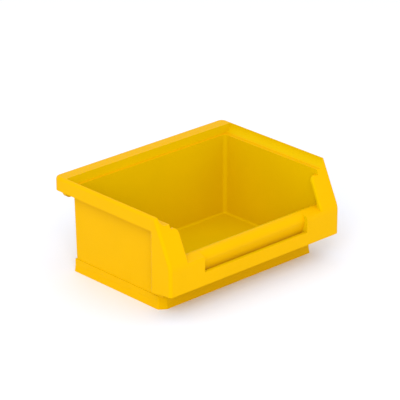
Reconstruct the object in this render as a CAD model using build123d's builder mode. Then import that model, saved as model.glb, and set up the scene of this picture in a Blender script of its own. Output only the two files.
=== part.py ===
from build123d import *
import os
from math import atan, cos, degrees, radians, sin, tan

# Stackable open-front storage bin, moulded in one piece from polypropylene.
# Each node is one functional region of the moulding, and the regions meet face to face.
# Millimetres, +Z up. The origin is on the resting plane, under the middle of the bin.
# The open front with its label strip faces -Y, and the hanging lip is at the back, +Y.

# Overall size
width = 102.0
depth = 76.0
height = 45.0

# Walls
wall = 1.7                  # side, back and front walls
skin = 1.5                  # rim, front apron, flanges and label strip
wall_draft = 1.0            # degrees that the walls open upwards
back_corner = 1.8           # inside corner radius between side and back walls
front_corner = 4.0          # inside corner radius between side and front walls
floor_corner = 1.0          # inside radius between walls and floor
outer_corner = 1.2          # outside corner radius between side and back walls
outer_edge = 1.4            # rounding of the rim's top edge and of the apron's outer corners

# Stacking rim
side_overhang = 4.8         # the rim stands this far outside the side walls
back_overhang = 7.3         # and this far behind the back wall
skirt_height = 6.5          # height of the rim's outer skirt
seat_depth = 3.8            # the seat lies this far under the rim's top
side_seat = 2.3             # width of the seat along the sides
back_seat = 1.6             # width of the seat along the back
back_land = 7.0             # width of the rim's flat top along the back
cove_radius = 4.0           # hollow radius from the side rims down to the seat
rim_corner = 3.0            # outside radius of the rim's back corners

# Stacking foot
foot_height = 6.0
foot_setback = 10.9         # the foot's front stands this far behind the front apron
foot_clearance = 0.45       # play between the foot and the seat of the bin below
foot_flare = 0.45           # the foot's waist is this much narrower than its toe
toe_height = 3.0            # the foot flares out to full size below this level
toe_hollow = 4.0            # hollow radius between the waist and the flare
foot_corner = 1.2           # upright rounding of the foot's corners
foot_ring = 2.8             # width of the ring that the bin stands on
foot_chamfer_x = 2.4        # front corner chamfers of the foot
foot_chamfer_y = 3.4
floor_z = 2.5               # top of the floor
floor_thickness = 1.5
floor_seam = 1.0            # the floor's region ends this far inside its rounded edge

# Sloped opening
panel_bottom = 11.2         # lower edge of the front apron
panel_top = 24.3            # where the sloped flanges start
slope_run = 9.7             # the slope runs this far back on its way up to the rim
flange_width = 10.8         # width of the sloped flange beside the opening
slope_blend = 9.0           # outside radius between the apron and the sloped flanges
flange_top_gap = 2.2        # the flange's inner end stops this far under the seat
flange_top_corner = 2.8
flange_fillet = 8.0         # inside radius between the side wall and the flange
fillet_setback = 10.6       # that rounding starts this far behind the front apron
flange_edge = 0.8           # rounding of the flange's inner edge
apron_side = 11.3           # flat length of the apron's return along each side
flare_length = 5.5          # length over which the side walls swell out to the apron
hem_flat = 2.0              # the apron's lower edge is level this far round each side
hem_drop = 1.0              # and lies this much lower at the back of the return

# Lip and label holder
front_lean = 14.0           # degrees that the front wall leans outwards
lip_top = 25.8
lip_radius = 3.4
label_gap = 0.3             # slot between the label strip and the lip, for a label card
label_width = 62.0          # opening between the label tabs
strip_top = 17.3            # top edge of the label strip
tab_tangent = 109.0         # degrees round the lip where the label tabs join it
backing_bottom = 12.4       # lower end of the wall behind the label

# Hanging lip
hanger_width = 97.0
hanger_thickness = 2.0
hanger_gap = 2.3            # space between the back wall and the hanging lip
hanger_drop = 3.8           # the lip reaches this far below the rim's skirt
hanger_corner = 2.8

# Gate mark under the floor
gate_radius = 2.0
gate_depth = 0.4

margin = 5.0                # cutting shapes reach this far past the bin
tiny = 0.01

# Levels and faces worked out from the sizes above
half_width = width / 2
front_y = -depth / 2
back_y = depth / 2
skirt_z = height - skirt_height
seat_z = height - seat_depth
body_half = half_width - side_overhang
body_back = back_y - back_overhang
inner_half = body_half - wall
inner_back = body_back - wall
seat_half = inner_half + side_seat
seat_back = inner_back + back_seat
foot_half = seat_half - foot_clearance
foot_back = seat_back - foot_clearance
foot_front = front_y + foot_setback
mouth_half = half_width - flange_width
label_half = label_width / 2
lip_y = front_y + skin + label_gap + lip_radius
lip_z = lip_top - lip_radius
slope_angle = degrees(atan(slope_run / (height - panel_top)))
slope_skin = skin / cos(radians(slope_angle))
flange_top = seat_z - flange_top_gap
bend_back = panel_top - skin * tan(radians(slope_angle / 2))


def side_face(level):
    """Half the width of the storage space at a level."""
    return inner_half - (seat_z - level) * tan(radians(wall_draft))


def back_face(level):
    """Inner face of the back wall at a level."""
    return inner_back - (seat_z - level) * tan(radians(wall_draft))


def side_outside(level):
    """Outer face of the side walls at a level."""
    return side_face(level) + wall


def leaning_face(level, offset):
    """A face parallel to the front wall, at a distance from the centre of the lip."""
    lean = radians(front_lean)
    return lip_y + offset / cos(lean) - (level - lip_z) * tan(lean)


def front_face(level):
    """Inner face of the front wall at a level."""
    return leaning_face(level, lip_radius)


def front_outside(level):
    """Outer face of the front wall at a level."""
    return leaning_face(level, lip_radius - wall)


def slope_face(level):
    """Front face of the sloped flanges at a level."""
    return front_y + (level - panel_top) * tan(radians(slope_angle))


def slope_back(level):
    """Back face of the sloped flanges at a level."""
    return slope_face(level) + slope_skin


def upright(edge):
    """True for edges that run up the cavity's corners."""
    return abs((edge % 0.5).Z) > 0.5


def on_side(edge):
    """True for edges on the bin's left and right faces."""
    return abs(abs((edge @ 0.5).X) - half_width) < tiny


def at_toe_top(edge):
    """True for the edges round the foot where its flare starts."""
    return abs((edge @ 0).Z - toe_height) < tiny and abs((edge @ 1).Z - toe_height) < tiny


def on_inner_edge(edge):
    """True for the flange's front edge along the opening."""
    middle = edge @ 0.5
    beside_mouth = abs(middle.X + mouth_half) < tiny
    in_front = abs(middle.Y - slope_face(middle.Z)) < flange_edge
    return beside_mouth and in_front and middle.Z > panel_top


# Cutting shapes shared by the regions

low = -margin
high = height + margin

with BuildPart() as between_sides:
    with BuildSketch(Plane.XZ):
        with BuildLine():
            Polyline(
                (-side_face(low), low),
                (side_face(low), low),
                (side_face(high), high),
                (-side_face(high), high),
                close=True,
            )
        make_face()
    extrude(amount=depth, both=True)

with BuildPart() as cavity:
    with BuildSketch(Plane.YZ):
        with BuildLine():
            Polyline(
                (front_face(floor_z), floor_z),
                (back_face(floor_z), floor_z),
                (back_face(high), high),
                (front_face(high), high),
                close=True,
            )
        make_face()
    extrude(amount=width, both=True)
    add(between_sides.part, mode=Mode.INTERSECT)
    corners = cavity.edges().filter_by(upright).sort_by(Axis.Y)
    fillet(corners[:2], radius=front_corner)
    corners = cavity.edges().filter_by(upright).sort_by(Axis.Y)
    fillet(corners[-4:], radius=back_corner)
    fillet(cavity.faces().sort_by(Axis.Z)[0].edges(), radius=floor_corner)

# Outside of the side and back walls, which open upwards as the cavity does
with BuildPart() as wall_block:
    with BuildSketch(Plane.XZ):
        with BuildLine():
            Polyline(
                (-side_outside(foot_height), foot_height),
                (side_outside(foot_height), foot_height),
                (side_outside(skirt_z), skirt_z),
                (-side_outside(skirt_z), skirt_z),
                close=True,
            )
        make_face()
    extrude(amount=depth, both=True)
    with BuildSketch(Plane.YZ):
        with BuildLine():
            Polyline(
                (-depth, foot_height),
                (back_face(foot_height) + wall, foot_height),
                (back_face(skirt_z) + wall, skirt_z),
                (-depth, skirt_z),
                close=True,
            )
        make_face()
    extrude(amount=width, both=True, mode=Mode.INTERSECT)
    fillet(wall_block.edges().filter_by(upright).sort_by(Axis.Y)[-2:], radius=outer_corner)

# Outer block of the apron, the flanges and the rim, with its rounded edges
with BuildPart() as outer_block:
    with BuildSketch(Plane.YZ):
        with BuildLine():
            Polyline(
                (front_y, 0),
                (back_y, 0),
                (back_y, height),
                (slope_face(height), height),
                (front_y, panel_top),
                close=True,
            )
        make_face()
        fillet(vertices().sort_by_distance((front_y, panel_top))[0], radius=slope_blend)
    extrude(amount=half_width, both=True)
    fillet(outer_block.edges().filter_by(Axis.Z).group_by(Axis.Y)[-1], radius=rim_corner)
    top = outer_block.faces().sort_by(Axis.Z)[-1]
    front_edges = outer_block.edges().filter_by(on_side).filter_by(Axis.Y, reverse=True)
    round_edges = front_edges.sort_by(Axis.Y)[:6] + top.edges().sort_by(Axis.Y)[1:]
    fillet(round_edges, radius=outer_edge)

# Everything behind the apron and the flanges
with BuildPart() as behind_front:
    with BuildSketch(Plane.YZ):
        with BuildLine():
            Polyline(
                (front_y + skin, low),
                (back_y + margin, low),
                (back_y + margin, high),
                (slope_back(high), high),
                (front_y + skin, bend_back),
                close=True,
            )
        make_face()
        bend_point = (front_y + skin, bend_back)
        fillet(vertices().sort_by_distance(bend_point)[0], radius=slope_blend - skin)
    extrude(amount=width, both=True)

# Apron and sloped flanges as one bent plate
with BuildPart() as front_plate:
    add(outer_block.part)
    add(behind_front.part, mode=Mode.SUBTRACT)

# The stacking opening above the seat: coved sides, steep back
with BuildPart() as seat_opening:
    land = half_width - skin
    with BuildSketch(Plane.XZ.offset(-(back_y - back_land + margin))):
        with BuildLine():
            RadiusArc((seat_half, seat_z), (land, height), -cove_radius)
            Line((land, height), (land, high))
            Line((land, high), (-land, high))
            Line((-land, high), (-land, height))
            RadiusArc((-land, height), (-seat_half, seat_z), -cove_radius)
            Line((-seat_half, seat_z), (seat_half, seat_z))
        make_face()
    extrude(amount=depth + 2 * margin)
    with BuildSketch(Plane.YZ):
        with BuildLine():
            Polyline(
                (front_y - 2 * margin, seat_z - margin),
                (seat_back, seat_z - margin),
                (seat_back, seat_z),
                (back_y - back_land, height),
                (back_y - back_land, high),
                (front_y - 2 * margin, high),
                close=True,
            )
        make_face()
    extrude(amount=width, both=True, mode=Mode.INTERSECT)

# Walls

with BuildPart() as left_side_wall:
    with BuildSketch(Plane.YZ.offset(-half_width)):
        with BuildLine():
            Polyline(
                (body_back, foot_height),
                (body_back, skirt_z),
                (front_y, skirt_z),
                (front_y, panel_top),
                (front_outside(panel_top), panel_top),
                (front_outside(foot_height), foot_height),
                close=True,
            )
        make_face()
    extrude(amount=half_width)
    add(wall_block.part, mode=Mode.INTERSECT)
    add(behind_front.part, mode=Mode.INTERSECT)
    add(between_sides.part, mode=Mode.SUBTRACT)

with BuildPart() as right_side_wall:
    mirror(left_side_wall.part, about=Plane.YZ)

with BuildPart() as back_wall:
    with BuildSketch(Plane.XY.offset(foot_height)):
        with Locations((0, back_face(floor_z) - back_corner)):
            Rectangle(width, depth, align=(Align.CENTER, Align.MIN))
    extrude(amount=skirt_z - foot_height)
    add(wall_block.part, mode=Mode.INTERSECT)
    add(between_sides.part, mode=Mode.INTERSECT)
    add(cavity.part, mode=Mode.SUBTRACT)

lean_cos = cos(radians(front_lean))
lean_sin = sin(radians(front_lean))
lip_in = (lip_y + lip_radius * lean_cos, lip_z + lip_radius * lean_sin)

with BuildPart() as front_wall:
    core_radius = lip_radius - wall
    with BuildSketch(Plane.YZ):
        with BuildLine():
            over = CenterArc((lip_y, lip_z), lip_radius, front_lean, 180)
            down = Line(over @ 1, (leaning_face(backing_bottom, -lip_radius), backing_bottom))
            under = Line(down @ 1, (leaning_face(backing_bottom, -core_radius), backing_bottom))
            hollow = CenterArc((lip_y, lip_z), core_radius, front_lean, 180)
            Line(under @ 1, hollow @ 1)
            outside = Line(hollow @ 0, (front_outside(foot_height), foot_height))
            foot = Line(outside @ 1, (front_face(foot_height) + front_corner, foot_height))
            rise = Line(foot @ 1, (lip_in[0] + front_corner, lip_in[1]))
            Line(rise @ 1, over @ 0)
        make_face()
    extrude(amount=half_width, both=True)
    add(between_sides.part, mode=Mode.INTERSECT)
    add(cavity.part, mode=Mode.SUBTRACT)

# Floor and foot

with BuildSketch(Plane.XY) as floor_outline:
    with BuildLine():
        flat_half = side_face(floor_z) - floor_corner - floor_seam
        flat_front = front_face(floor_z) + floor_corner + floor_seam
        flat_back = back_face(floor_z) - floor_corner - floor_seam
        Polyline(
            (-flat_half, flat_front),
            (flat_half, flat_front),
            (flat_half, flat_back),
            (-flat_half, flat_back),
            close=True,
        )
    make_face()
    fillet(vertices().group_by(Axis.Y)[0], radius=front_corner)
    fillet(vertices().group_by(Axis.Y)[-1], radius=back_corner)

floor_bottom = floor_z - floor_thickness

with BuildPart() as floor_panel:
    with BuildSketch(Plane.XY.offset(floor_bottom)):
        add(floor_outline.sketch)
    extrude(amount=floor_thickness)
    with BuildSketch(Plane.XY.offset(floor_bottom)):
        Circle(gate_radius)
    extrude(amount=gate_depth, mode=Mode.SUBTRACT)

with BuildPart() as stacking_foot:
    foot_length = foot_back - foot_front
    with BuildSketch(Plane.XY):
        with Locations((0, foot_front)):
            Rectangle(2 * foot_half, foot_length + margin, align=(Align.CENTER, Align.MIN))
        front_points = vertices().group_by(Axis.Y)[0]
        chamfer(front_points, length=foot_chamfer_x, length2=foot_chamfer_y)
        fillet(vertices().sort_by(Axis.Y)[:4], radius=foot_corner)
    extrude(amount=toe_height, taper=degrees(atan(foot_flare / toe_height)))
    toe_top = stacking_foot.faces().sort_by(Axis.Z)[-1]
    extrude(toe_top, amount=foot_height - toe_height)
    waist = stacking_foot.edges().filter_by(at_toe_top)
    fillet(waist, radius=toe_hollow)
    # the back stands straight, in line with the back wall
    with BuildSketch(Plane.XY):
        with Locations((0, foot_back)):
            Rectangle(width, 2 * margin, align=(Align.CENTER, Align.MIN))
    extrude(amount=foot_height, mode=Mode.SUBTRACT)
    with BuildSketch(Plane.XY):
        with Locations((0, foot_back - foot_ring)):
            Rectangle(
                2 * (foot_half - foot_ring),
                foot_length - 2 * foot_ring,
                align=(Align.CENTER, Align.MAX),
            )
        fillet(vertices(), radius=back_corner)
    extrude(amount=floor_bottom, mode=Mode.SUBTRACT)
    with BuildSketch(Plane.XY.offset(floor_bottom)):
        add(floor_outline.sketch)
    extrude(amount=floor_thickness, mode=Mode.SUBTRACT)
    add(cavity.part, mode=Mode.SUBTRACT)

# Stacking rim

with BuildPart() as rim_ring:
    add(outer_block.part)
    with BuildSketch(Plane.XY):
        Rectangle(2 * width, 2 * depth)
    extrude(amount=skirt_z, mode=Mode.SUBTRACT)
    add(seat_opening.part, mode=Mode.SUBTRACT)
    add(cavity.part, mode=Mode.SUBTRACT)
    add(behind_front.part, mode=Mode.INTERSECT)
    # hollow between the walls and the side skirts, open below
    under_seat = seat_z - skin
    under_land = height - skin
    skirt_inside = half_width - skin
    wall_side = side_outside(skirt_z)
    wall_back = back_face(skirt_z) + wall
    with BuildSketch(Plane.XZ.offset(-(back_y - skin))):
        with BuildLine():
            Polyline(
                (wall_side, skirt_z),
                (skirt_inside, skirt_z),
                (skirt_inside, seat_z),
                (seat_half, under_seat),
                (wall_side, under_seat),
                close=True,
            )
        make_face()
        mirror(about=Plane.YZ)
    extrude(amount=depth, mode=Mode.SUBTRACT)
    # hollow behind the back wall, open below
    with BuildSketch(Plane.YZ):
        with BuildLine():
            Polyline(
                (wall_back, skirt_z),
                (back_y - skin, skirt_z),
                (back_y - skin, under_land),
                (back_y - back_land + skin, under_land),
                (seat_back + skin, under_seat),
                (wall_back, under_seat),
                close=True,
            )
        make_face()
    extrude(amount=skirt_inside, both=True, mode=Mode.SUBTRACT)

rim_joint = back_face(skirt_z) - back_corner

with BuildPart() as back_rim:
    add(rim_ring.part)
    split(bisect_by=Plane.XZ.offset(-rim_joint), keep=Keep.BOTTOM)

with BuildPart() as left_rim:
    add(rim_ring.part)
    split(bisect_by=Plane.XZ.offset(-rim_joint), keep=Keep.TOP)
    split(bisect_by=Plane.YZ, keep=Keep.BOTTOM)

with BuildPart() as right_rim:
    mirror(left_rim.part, about=Plane.YZ)

with BuildPart() as hanging_lip:
    with BuildSketch(Plane.XZ.offset(-(body_back + hanger_gap))):
        with Locations((0, skirt_z - hanger_drop)):
            Rectangle(
                hanger_width,
                under_land - skirt_z + hanger_drop,
                align=(Align.CENTER, Align.MIN),
            )
        fillet(vertices().group_by(Axis.Y)[0], radius=hanger_corner)
    extrude(amount=-hanger_thickness)

# Sloped flanges beside the opening, each with the rounded corner that joins it to a side wall

with BuildPart() as left_front_flange:
    arc_x = side_face(seat_z) - flange_fillet
    arc_y = front_y + fillet_setback
    reach = (flange_fillet**2 - (mouth_half - arc_x) ** 2) ** 0.5
    body_side = side_outside(skirt_z)
    # rounded inside corner, hollow in front
    with BuildSketch(Plane.XY.offset(panel_top)):
        with BuildLine():
            wall_point = (-arc_x - flange_fillet, arc_y)
            mouth_point = (-mouth_half, arc_y - reach)
            round_in = RadiusArc(wall_point, mouth_point, -flange_fillet)
            Line(round_in @ 1, (-mouth_half, front_y))
            Line((-mouth_half, front_y), (-body_side, front_y))
            Line((-body_side, front_y), (-body_side, arc_y))
            Line((-body_side, arc_y), round_in @ 0)
        make_face()
    extrude(amount=flange_top - panel_top)
    with BuildSketch(Plane.XY.offset(panel_top)):
        with BuildLine():
            hollow_x = -mouth_half - skin
            hollow_reach = ((flange_fillet + skin) ** 2 - (-hollow_x - arc_x) ** 2) ** 0.5
            Polyline(
                (hollow_x, arc_y - hollow_reach),
                (hollow_x, front_y),
                (-half_width, front_y),
                (-half_width, arc_y),
                (-body_side, arc_y),
                close=True,
            )
        make_face()
    extrude(amount=flange_top - skin - panel_top, mode=Mode.SUBTRACT)
    # sloped plate, cut back to the flange's outline
    add(front_plate.part)
    with BuildSketch(Plane.XZ.offset(-back_y)):
        with BuildLine():
            Polyline(
                (-mouth_half, low),
                (-mouth_half, flange_top),
                (-inner_half, flange_top),
                (-inner_half, high),
                (width, high),
                (width, low),
                close=True,
            )
        make_face()
        flange_tip = vertices().sort_by_distance((-mouth_half, flange_top))[0]
        fillet(flange_tip, radius=flange_top_corner)
    extrude(amount=2 * depth, mode=Mode.SUBTRACT)
    with BuildSketch(Plane.XY.offset(panel_top)):
        Rectangle(2 * width, 2 * depth)
    extrude(amount=-height, mode=Mode.SUBTRACT)
    add(outer_block.part, mode=Mode.INTERSECT)
    fillet(left_front_flange.edges().filter_by(on_inner_edge), radius=flange_edge)
    add(seat_opening.part, mode=Mode.SUBTRACT)
    add(left_side_wall.part, mode=Mode.SUBTRACT)
    add(left_rim.part, mode=Mode.SUBTRACT)
    add(front_wall.part, mode=Mode.SUBTRACT)

with BuildPart() as right_front_flange:
    mirror(left_front_flange.part, about=Plane.YZ)

# Front apron: flared corners, label strip and tabs

with BuildPart() as left_front_corner:
    flare_x = side_outside(foot_height)
    flare_y = front_y + apron_side + flare_length
    flare_out = half_width - flare_x
    swell = (flare_length**2 + flare_out**2) / (4 * flare_out)
    turn = degrees(2 * atan(flare_out / flare_length))
    with BuildSketch(Plane.XY.offset(foot_height)):
        with BuildLine():
            swell_out = JernArc((-flare_x, flare_y), (0, -1), swell, -turn)
            swell_back = JernArc(swell_out @ 1, swell_out % 1, swell, turn)
            side = Line(swell_back @ 1, (-half_width, front_y))
            Line(side @ 1, (-body_half, front_y))
            offset(amount=skin, side=Side.LEFT)
        make_face()
    extrude(amount=skirt_z - foot_height)
    add(outer_block.part, mode=Mode.INTERSECT)
    with BuildSketch(Plane.YZ):
        with BuildLine():
            level = Line((front_y - margin, panel_bottom), (front_y + hem_flat, panel_bottom))
            hem_end = (front_y + apron_side, panel_bottom - hem_drop)
            fall = Spline(level @ 1, hem_end, tangents=((1, 0), (1, 0)))
            Line(fall @ 1, (flare_y + margin, hem_end[1]))
            Line((flare_y + margin, hem_end[1]), (flare_y + margin, 0))
            Line((flare_y + margin, 0), (front_y - margin, 0))
            Line((front_y - margin, 0), level @ 0)
        make_face()
    extrude(amount=width, both=True, mode=Mode.SUBTRACT)
    add(left_front_flange.part, mode=Mode.SUBTRACT)
    add(left_side_wall.part, mode=Mode.SUBTRACT)
    add(between_sides.part, mode=Mode.SUBTRACT)

with BuildPart() as right_front_corner:
    mirror(left_front_corner.part, about=Plane.YZ)

with BuildPart() as label_panel:
    add(front_plate.part)
    with BuildSketch(Plane.XY.offset(panel_bottom)):
        Rectangle(2 * body_half, 2 * depth)
    extrude(amount=panel_top - panel_bottom, mode=Mode.INTERSECT)
    with BuildSketch(Plane.XZ.offset(-back_y)):
        with Locations((0, strip_top)):
            Rectangle(label_width, panel_top, align=(Align.CENTER, Align.MIN))
    extrude(amount=2 * depth, mode=Mode.SUBTRACT)

with BuildPart() as left_label_tab:
    tab_angle = radians(tab_tangent)
    tab_back = (lip_y + lip_radius * cos(tab_angle), lip_z + lip_radius * sin(tab_angle))
    with BuildSketch(Plane.YZ.offset(-mouth_half - skin)):
        with BuildLine():
            Polyline(
                (front_y, panel_top),
                tab_back,
                (tab_back[0], tab_back[1] - skin),
                (front_y + skin, panel_top - skin),
                (front_y + skin, panel_top),
                close=True,
            )
        make_face()
    extrude(amount=mouth_half + skin - label_half)
    # web that closes the side of the label opening and ends in the middle of the front wall
    web_depth = lip_radius - wall / 2
    web_top = (lip_y + web_depth * cos(tab_angle), lip_z + web_depth * sin(tab_angle))
    with BuildSketch(Plane.YZ.offset(-label_half - skin)):
        with BuildLine():
            Polyline(
                (front_y + skin, backing_bottom),
                (leaning_face(backing_bottom, -web_depth), backing_bottom),
                (leaning_face(lip_z, -web_depth), lip_z),
                web_top,
                (front_y + skin, panel_top - skin),
                close=True,
            )
        make_face()
    extrude(amount=skin)
    add(outer_block.part, mode=Mode.INTERSECT)
    add(front_wall.part, mode=Mode.SUBTRACT)
    add(left_front_flange.part, mode=Mode.SUBTRACT)
    add(label_panel.part, mode=Mode.SUBTRACT)

with BuildPart() as right_label_tab:
    mirror(left_label_tab.part, about=Plane.YZ)

# Each region is written as its own node, in the bin's place

nodes = {
    "floor_panel": floor_panel,
    "stacking_foot": stacking_foot,
    "left_side_wall": left_side_wall,
    "right_side_wall": right_side_wall,
    "back_wall": back_wall,
    "front_wall": front_wall,
    "back_rim": back_rim,
    "left_rim": left_rim,
    "right_rim": right_rim,
    "hanging_lip": hanging_lip,
    "left_front_flange": left_front_flange,
    "right_front_flange": right_front_flange,
    "left_front_corner": left_front_corner,
    "right_front_corner": right_front_corner,
    "label_panel": label_panel,
    "left_label_tab": left_label_tab,
    "right_label_tab": right_label_tab,
}
os.makedirs("parts", exist_ok=True)
for name, node in nodes.items():
    node.part.label = name
    export_step(node.part, f"parts/{name}.step")
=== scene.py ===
import bpy
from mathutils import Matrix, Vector

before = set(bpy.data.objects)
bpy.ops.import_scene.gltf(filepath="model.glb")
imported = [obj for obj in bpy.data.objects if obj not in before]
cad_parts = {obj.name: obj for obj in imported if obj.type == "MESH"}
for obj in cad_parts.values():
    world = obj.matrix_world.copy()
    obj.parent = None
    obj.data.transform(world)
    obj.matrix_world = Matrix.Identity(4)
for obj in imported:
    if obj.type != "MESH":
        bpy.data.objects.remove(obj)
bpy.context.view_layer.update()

# Stackable storage bin in yellow polypropylene, on a pale studio floor.
# Metres, +Z up. The open front faces -Y, and the camera looks from the front left.

MM = 0.001

# Camera
CAMERA_PLACE = (-0.7102, -0.7616, 0.4705)
CAMERA_TARGET = (0.0034, 0.0020, 0.0286)
CAMERA_LENS = 229.6
CAMERA_SENSOR = 36.0

# Light
SKY_STRENGTH = 1.05
SKY_COLOUR = (1.0, 1.0, 1.0)
SOFTBOX_PLACE = (-1.00, -0.90, 0.90)
SOFTBOX_SIZE = 1.1
SOFTBOX_POWER = 13.0
FLOOR_COLOUR = (0.835, 0.86, 0.93)
FLOOR_REACH = 3.0

# Plastic. The inside faces carry a painted shade tint, less red than the outside, which stands
# in for the shaded interior lit mostly by the bin's own yellow bounce light.
OUTSIDE_COLOUR = (0.765, 0.415, 0.0003)
PAINTED_INSIDE_SHADE_TINT = (0.690, 0.450, 0.0003)
INSIDE_HEIGHT = 25 * MM      # faces turned towards a point at this height count as inside
SPECULAR_TINT = (1.0, 0.72, 0.10)
SPECULAR_LEVEL = 0.04
ROUGHNESS = 0.42
ROUGHNESS_LESS = 0.05        # the grain makes the surface this much smoother
ROUGHNESS_MORE = 0.07        # or rougher
CLOUD_SCALE = 45.0           # uneven pigment, in patches of about 20 mm
CLOUD_SHADE = 0.975          # brightness of the darkest patches
GRAIN_SCALE = 2600.0         # fine texture of the mould, below half a millimetre
GRAIN_DEPTH = 0.05 * MM
GRAIN_STRENGTH = 0.12


def add_camera():
    data = bpy.data.cameras.new("camera")
    data.lens = CAMERA_LENS
    data.sensor_width = CAMERA_SENSOR
    camera = bpy.data.objects.new("camera", data)
    camera.location = CAMERA_PLACE
    aim = Vector(CAMERA_TARGET) - camera.location
    camera.rotation_euler = aim.to_track_quat("-Z", "Y").to_euler()
    bpy.context.scene.collection.objects.link(camera)
    bpy.context.scene.camera = camera


def add_floor():
    """A plain matt floor, slightly blue so that the bin's yellow glow leaves its shadow grey."""
    reach = FLOOR_REACH
    mesh = bpy.data.meshes.new("studio_floor")
    corners = [(-reach, -reach, 0), (reach, -reach, 0), (reach, reach, 0), (-reach, reach, 0)]
    mesh.from_pydata(corners, [], [(0, 1, 2, 3)])
    material = bpy.data.materials.new("studio_floor")
    material.use_nodes = True
    shader = material.node_tree.nodes["Principled BSDF"]
    shader.inputs["Base Color"].default_value = (*FLOOR_COLOUR, 1)
    shader.inputs["Roughness"].default_value = 1.0
    shader.inputs["Specular IOR Level"].default_value = 0.0
    mesh.materials.append(material)
    floor = bpy.data.objects.new("studio_floor", mesh)
    bpy.context.scene.collection.objects.link(floor)


def add_light():
    """An even white sky and one soft light from the front left."""
    sky = bpy.data.worlds.new("studio_sky")
    sky.use_nodes = True
    background = sky.node_tree.nodes["Background"]
    background.inputs["Color"].default_value = (*SKY_COLOUR, 1)
    background.inputs["Strength"].default_value = SKY_STRENGTH
    bpy.context.scene.world = sky
    data = bpy.data.lights.new("softbox", "AREA")
    data.size = SOFTBOX_SIZE
    data.energy = SOFTBOX_POWER
    softbox = bpy.data.objects.new("softbox", data)
    softbox.location = SOFTBOX_PLACE
    aim = Vector((0, 0, 0)) - softbox.location
    softbox.rotation_euler = aim.to_track_quat("-Z", "Y").to_euler()
    bpy.context.scene.collection.objects.link(softbox)


class Nodes:
    """Short calls for wiring a material's node tree."""

    def __init__(self, tree):
        self.tree = tree

    def add(self, kind, **settings):
        node = self.tree.nodes.new(kind)
        for name, value in settings.items():
            setattr(node, name, value)
        return node

    def put(self, socket, value):
        if hasattr(value, "is_output"):
            self.tree.links.new(value, socket)
        else:
            socket.default_value = value

    def math(self, operation, a, b=0.0):
        node = self.add("ShaderNodeMath", operation=operation)
        self.put(node.inputs[0], a)
        self.put(node.inputs[1], b)
        return node.outputs[0]

    def ramp(self, value, start, end, low=0.0, high=1.0):
        """Turns smoothly from low to high while value goes from start to end."""
        node = self.add("ShaderNodeMapRange", interpolation_type="SMOOTHSTEP")
        node.inputs["From Min"].default_value = start
        node.inputs["From Max"].default_value = end
        node.inputs["To Min"].default_value = low
        node.inputs["To Max"].default_value = high
        self.put(node.inputs["Value"], value)
        return node.outputs[0]

    def noise(self, place, scale, detail):
        node = self.add("ShaderNodeTexNoise")
        self.put(node.inputs["Vector"], place)
        node.inputs["Scale"].default_value = scale
        node.inputs["Detail"].default_value = detail
        return node.outputs[0]

    def mix(self, share, a, b, blend="MIX"):
        node = self.add("ShaderNodeMix", data_type="RGBA", blend_type=blend)
        self.put(node.inputs["Factor"], share)
        self.put(node.inputs[6], a)
        self.put(node.inputs[7], b)
        return node.outputs[2]


def painted_inside_shade_mask(nodes, place):
    """1 on faces turned towards the middle of the bin, where the painted inside shade tint goes.
    """
    to_middle = nodes.add("ShaderNodeVectorMath", operation="SUBTRACT")
    to_middle.inputs[0].default_value = (0, 0, INSIDE_HEIGHT)
    nodes.put(to_middle.inputs[1], place)
    direction = nodes.add("ShaderNodeVectorMath", operation="NORMALIZE")
    nodes.put(direction.inputs[0], to_middle.outputs[0])
    facing = nodes.add("ShaderNodeVectorMath", operation="DOT_PRODUCT")
    nodes.put(facing.inputs[0], direction.outputs[0])
    nodes.put(facing.inputs[1], nodes.add("ShaderNodeNewGeometry").outputs["Normal"])
    return nodes.ramp(facing.outputs["Value"], -0.05, 0.25)


def moulded_polypropylene():
    material = bpy.data.materials.new("yellow_polypropylene")
    material.use_nodes = True
    nodes = Nodes(material.node_tree)
    shader = material.node_tree.nodes["Principled BSDF"]
    place = nodes.add("ShaderNodeTexCoord").outputs["Object"]
    inside = painted_inside_shade_mask(nodes, place)
    # Painted shade: inside faces take the inside tint in place of the interior's shade and
    # yellow bounce light.
    colour = nodes.mix(inside, (*OUTSIDE_COLOUR, 1), (*PAINTED_INSIDE_SHADE_TINT, 1))
    cloud = nodes.noise(place, CLOUD_SCALE, 3.0)
    shade = nodes.ramp(cloud, 0.3, 0.7, CLOUD_SHADE, 1.0)
    tone = nodes.mix(1.0, colour, shade, "MULTIPLY")
    nodes.put(shader.inputs["Base Color"], tone)
    grain = nodes.noise(place, GRAIN_SCALE, 2.0)
    rough = nodes.ramp(grain, 0.25, 0.75, ROUGHNESS - ROUGHNESS_LESS, ROUGHNESS + ROUGHNESS_MORE)
    nodes.put(shader.inputs["Roughness"], rough)
    bump = nodes.add("ShaderNodeBump")
    bump.inputs["Strength"].default_value = GRAIN_STRENGTH
    bump.inputs["Distance"].default_value = GRAIN_DEPTH
    nodes.put(bump.inputs["Height"], grain)
    nodes.put(shader.inputs["Normal"], bump.outputs[0])
    shader.inputs["Specular IOR Level"].default_value = SPECULAR_LEVEL
    shader.inputs["Specular Tint"].default_value = (*SPECULAR_TINT, 1)
    return material


def finish_nodes(material):
    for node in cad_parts.values():
        node.data.materials.clear()
        node.data.materials.append(material)


add_camera()
add_floor()
add_light()
bpy.context.scene.view_settings.view_transform = "Standard"
finish_nodes(moulded_polypropylene())
